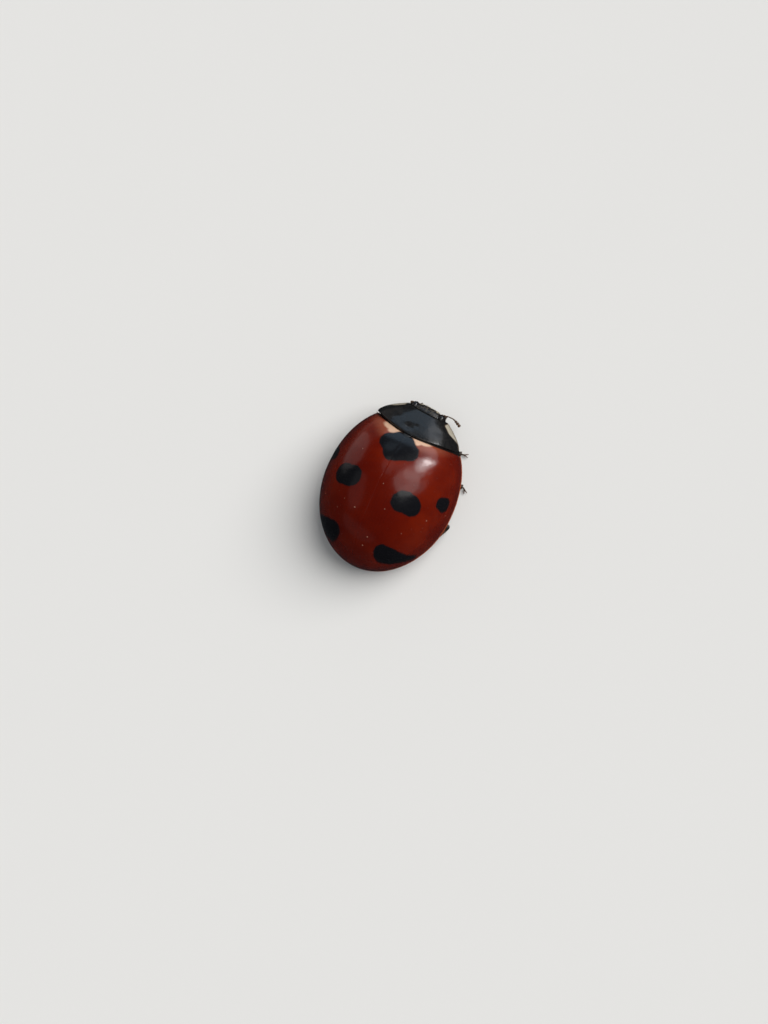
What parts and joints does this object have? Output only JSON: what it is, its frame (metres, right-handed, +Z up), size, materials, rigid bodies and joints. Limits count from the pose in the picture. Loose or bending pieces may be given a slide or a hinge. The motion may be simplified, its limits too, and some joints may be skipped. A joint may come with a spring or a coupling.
{
  "type": "ladybird",
  "caption": "Life-size ladybird beetle standing with its spotted domed wing cases closed, head and antennae forward and jointed legs tucked close in.",
  "frame": {"origin": "middle of the footprint, at the level of the soles of the feet", "axes": "+Z up, the head towards -Y and the tip of the wing cases towards +Y, the animal's left towards +X"},
  "size_m": [0.006, 0.0078, 0.004],
  "materials": {
    "elytra_red": "glossy sealing-wax red cuticle with soft-edged black spots and a cream patch at the base",
    "cuticle_black": "glossy finely punctured black cuticle",
    "leg_black": "satin black cuticle with short fine hairs",
    "antenna_brown": "satin brown cuticle",
    "eye_black": "glossy black faceted eye"
  },
  "bodies": {
    "root": {"abdomen": "cuticle_black", "antenna_left": "antenna_brown", "antenna_right": "antenna_brown", "elytron_left": "elytra_red", "elytron_right": "elytra_red", "eye_left": "eye_black", "eye_right": "eye_black", "head": "cuticle_black", "leg_front_left_femur": "leg_black", "leg_front_left_tarsus": "leg_black", "leg_front_left_tibia": "leg_black", "leg_front_right_femur": "leg_black", "leg_front_right_tarsus": "leg_black", "leg_front_right_tibia": "leg_black", "leg_hind_left_femur": "leg_black", "leg_hind_left_tarsus": "leg_black", "leg_hind_left_tibia": "leg_black", "leg_hind_right_femur": "leg_black", "leg_hind_right_tarsus": "leg_black", "leg_hind_right_tibia": "leg_black", "leg_mid_left_femur": "leg_black", "leg_mid_left_tarsus": "leg_black", "leg_mid_left_tibia": "leg_black", "leg_mid_right_femur": "leg_black", "leg_mid_right_tarsus": "leg_black", "leg_mid_right_tibia": "leg_black", "mouthparts": "antenna_brown", "palp_left": "antenna_brown", "palp_right": "antenna_brown", "pronotum": "cuticle_black", "prosternum": "cuticle_black", "scutellum": "cuticle_black", "thorax": "cuticle_black"}
  },
  "joints": []
}
